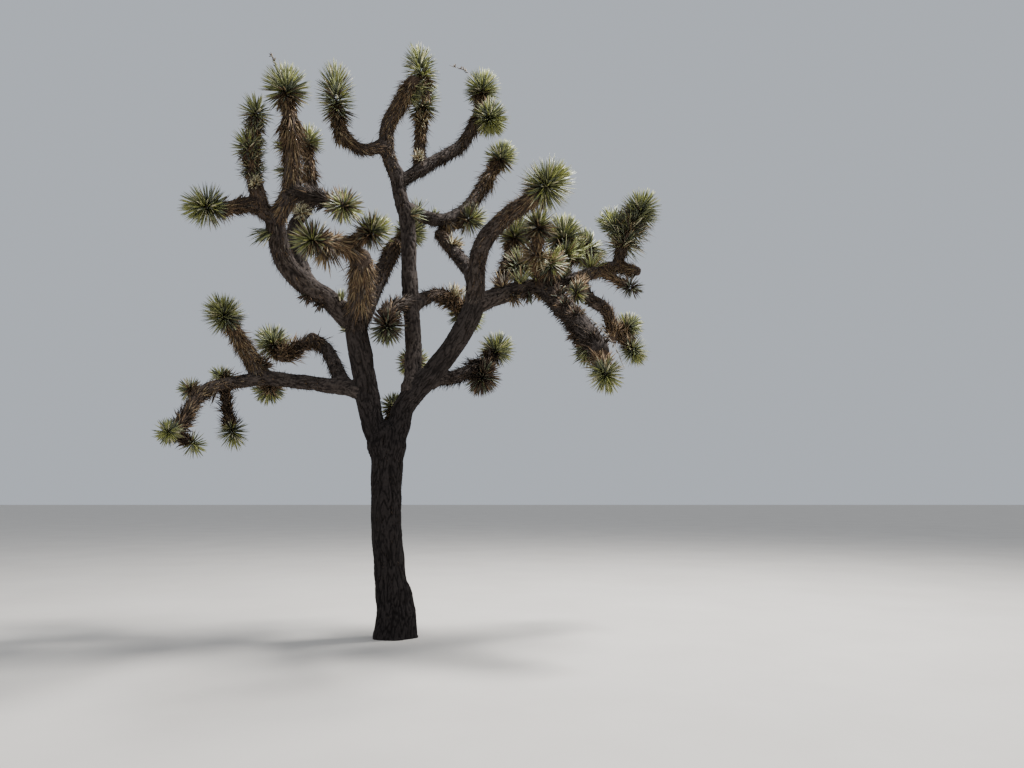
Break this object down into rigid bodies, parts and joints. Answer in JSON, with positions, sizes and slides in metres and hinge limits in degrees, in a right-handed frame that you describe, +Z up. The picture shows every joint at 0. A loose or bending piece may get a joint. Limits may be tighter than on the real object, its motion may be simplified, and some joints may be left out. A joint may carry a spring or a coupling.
{
  "type": "joshua tree",
  "caption": "Tall branching desert tree with a dark furrowed trunk, forked boughs, bent and drooping arms, and round heads of stiff pointed leaves at their ends.",
  "frame": {"origin": "middle of the flat cut under the trunk, at ground level", "axes": "+Z up, +X to the side of the long drooping arm on the right as the tree is seen from -Y"},
  "size_m": [5.7429, 3.3622, 7.2627],
  "materials": {
    "trunk_bark": "rough furrowed bark",
    "limb_bark": "rough bark with old leaf bases",
    "leaves": "satin leaves with pale edges"
  },
  "bodies": {
    "root": {"arched_arm": "limb_bark", "arched_leaves": "leaves", "back_bough": "limb_bark", "back_leaves": "leaves", "back_stub": "limb_bark", "back_stub_leaves": "leaves", "drooping_arm": "limb_bark", "drooping_leaves": "leaves", "east_arm": "limb_bark", "east_back_leaves": "leaves", "east_bough": "limb_bark", "east_crown_bough": "limb_bark", "east_crown_leaves": "leaves", "east_front_leaves": "leaves", "east_low_leaves": "leaves", "east_near_leaves": "leaves", "east_star_leaves": "leaves", "far_east_leaves": "leaves", "far_tuft_leaves": "leaves", "far_west_leaves": "leaves", "fork_leaves": "leaves", "front_leaves": "leaves", "hanging_arm": "limb_bark", "hanging_end_leaves": "leaves", "hanging_leaves": "leaves", "hooked_arm": "limb_bark", "hooked_leaves": "leaves", "inner_bough": "limb_bark", "inner_leaves": "leaves", "inner_top_leaves": "leaves", "knee_fall": "limb_bark", "knee_leaves": "leaves", "knee_rise": "limb_bark", "leader": "limb_bark", "link_arm": "limb_bark", "link_leaves": "leaves", "low_east_arm": "limb_bark", "low_east_leaves": "leaves", "low_inner_leaves": "leaves", "low_west_arm": "limb_bark", "low_west_leaves": "leaves", "lowest_leaves": "leaves", "middle_bough": "limb_bark", "raised_leaves": "leaves", "top_east_arm": "limb_bark", "top_east_leaves": "leaves", "top_leaves": "leaves", "top_spire": "limb_bark", "top_west_arm": "limb_bark", "top_west_leaves": "leaves", "trunk": "trunk_bark", "under_east_leaves": "leaves", "west_arm": "limb_bark", "west_bough": "limb_bark", "west_column_leaves": "leaves", "west_crown_bough": "limb_bark", "west_inner_leaves": "leaves", "west_spire": "limb_bark", "west_spire_leaves": "leaves", "west_tuft_leaves": "leaves"}
  },
  "joints": []
}
